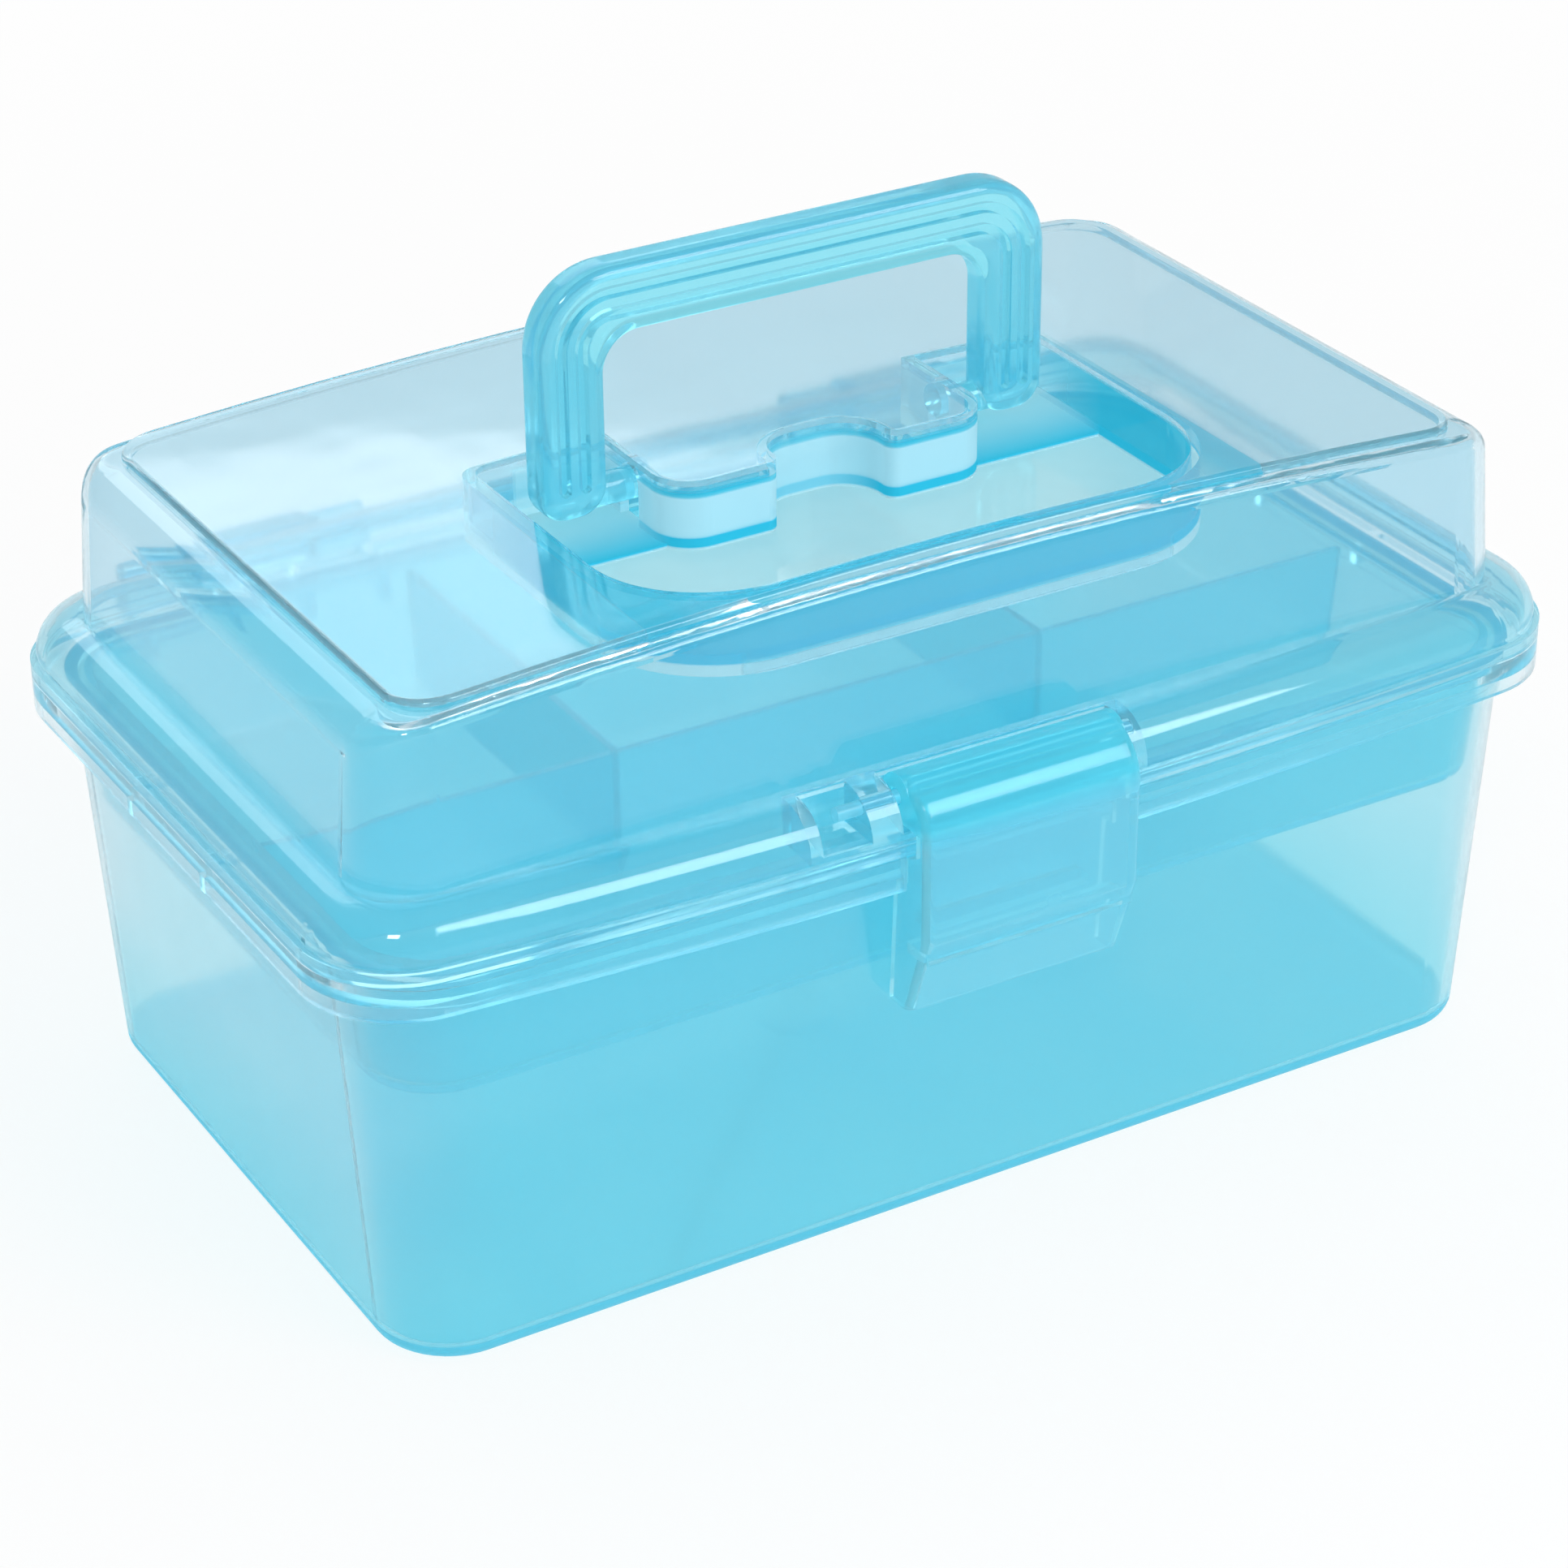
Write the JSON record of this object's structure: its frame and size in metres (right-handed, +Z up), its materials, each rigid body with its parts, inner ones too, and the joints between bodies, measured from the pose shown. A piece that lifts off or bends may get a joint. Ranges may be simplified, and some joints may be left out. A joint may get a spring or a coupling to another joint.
{
  "type": "art supply box",
  "caption": "Translucent carry box with a drafted tub, a domed hinged lid, a fold-down bail handle in a recess, a wrap-over front latch and a lift-out divided tray.",
  "frame": {"origin": "middle of the tub's underside", "axes": "+X along the box, -Y towards the latch at the front, +Z up"},
  "size_m": [0.29, 0.1951, 0.191],
  "materials": {
    "tub": "hazy translucent moulded plastic",
    "lid": "clear glossy tinted plastic",
    "handle": "milky translucent moulded plastic",
    "tray": "hazy translucent moulded plastic",
    "pin": "milky translucent moulded plastic"
  },
  "bodies": {
    "base": {"base_tub": "tub", "hinge_pin_left": "pin", "hinge_pin_right": "pin"},
    "lid": {"lid": "lid", "latch_pin": "pin"},
    "handle": {"handle": "handle"},
    "latch": {"latch": "handle"},
    "tray": {"tray": "tray"}
  },
  "joints": [
    {"name": "lid_hinge", "type": "hinge", "parent": "base", "child": "lid", "pos_m": [0, 0.096, 0.098], "axis": [-1, 0, 0], "range_deg": [0, 110]},
    {"name": "handle_fold", "type": "hinge", "parent": "lid", "child": "handle", "pos_m": [0, -0.001, 0.1415], "axis": [1, 0, 0], "range_deg": [0, 90]},
    {"name": "latch_flip", "type": "hinge", "parent": "lid", "child": "latch", "pos_m": [0, -0.084, 0.1039], "axis": [-1, 0, 0], "range_deg": [0, 85]},
    {"name": "tray_lift", "type": "slide", "parent": "base", "child": "tray", "axis": [0, 0, 1], "range_m": [0, 0.0025]}
  ]
}
